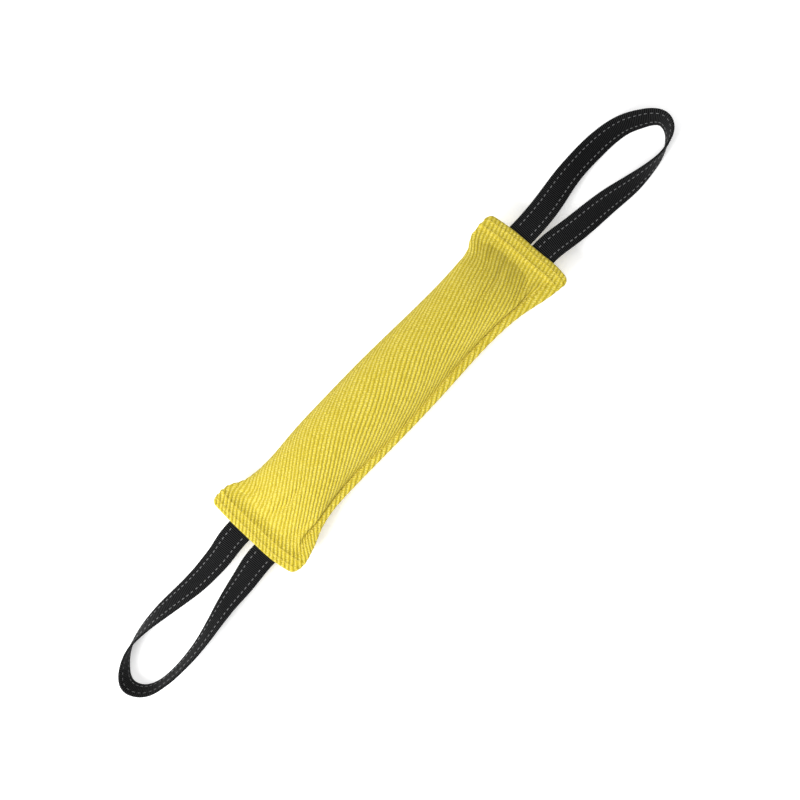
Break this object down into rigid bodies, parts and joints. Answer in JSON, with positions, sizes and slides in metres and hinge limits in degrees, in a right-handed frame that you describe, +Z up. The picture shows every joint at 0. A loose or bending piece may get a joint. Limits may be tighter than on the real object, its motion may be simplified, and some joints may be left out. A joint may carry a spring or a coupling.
{
  "type": "dog training bite tug",
  "caption": "Stuffed roll of coarse twill cloth, seamed flat along one side and across both ends, with a folding webbing loop handle sewn into each end.",
  "frame": {"origin": "centre of the flat resting patch under the stuffed roll, midway between its ends", "axes": "+X along the roll towards the right handle, +Y towards the folded side of the cloth (the seamed side is -Y), +Z up"},
  "size_m": [0.5791, 0.0802, 0.0395],
  "materials": {
    "cover_cloth": "matt coarse twill, yellow",
    "stuffing": "matt loose fibre, off-white",
    "seam_thread": "matt sewing thread, yellow",
    "webbing": "satin ribbed synthetic webbing, black",
    "tracer_yarn": "satin light grey yarn"
  },
  "bodies": {
    "stuffed_body": {"cover": "cover_cloth", "stuffing_core": "stuffing", "side_seam_needle_thread": "seam_thread", "left_end_outer_row_needle_thread": "seam_thread", "left_end_inner_row_needle_thread": "seam_thread", "right_end_outer_row_needle_thread": "seam_thread", "right_end_inner_row_needle_thread": "seam_thread", "side_seam_bobbin_thread": "seam_thread", "left_end_outer_row_bobbin_thread": "seam_thread", "left_end_inner_row_bobbin_thread": "seam_thread", "right_end_outer_row_bobbin_thread": "seam_thread", "right_end_inner_row_bobbin_thread": "seam_thread", "left_handle_tail_fold_side": "webbing", "left_handle_tail_seam_side": "webbing", "right_handle_tail_fold_side": "webbing", "right_handle_tail_seam_side": "webbing"},
    "left_handle": {"left_handle_webbing": "webbing", "left_handle_tracer_first_row": "tracer_yarn", "left_handle_tracer_second_row": "tracer_yarn"},
    "right_handle": {"right_handle_webbing": "webbing", "right_handle_tracer_first_row": "tracer_yarn", "right_handle_tracer_second_row": "tracer_yarn"}
  },
  "joints": [
    {"name": "left_handle_fold", "type": "hinge", "parent": "stuffed_body", "child": "left_handle", "pos_m": [-0.15275, -0.0039, 0.0194], "axis": [0, 1, 0], "range_deg": [-120, 120]},
    {"name": "right_handle_fold", "type": "hinge", "parent": "stuffed_body", "child": "right_handle", "pos_m": [0.15275, -0.0005, 0.0194], "axis": [0, -1, 0], "range_deg": [-120, 120]}
  ]
}
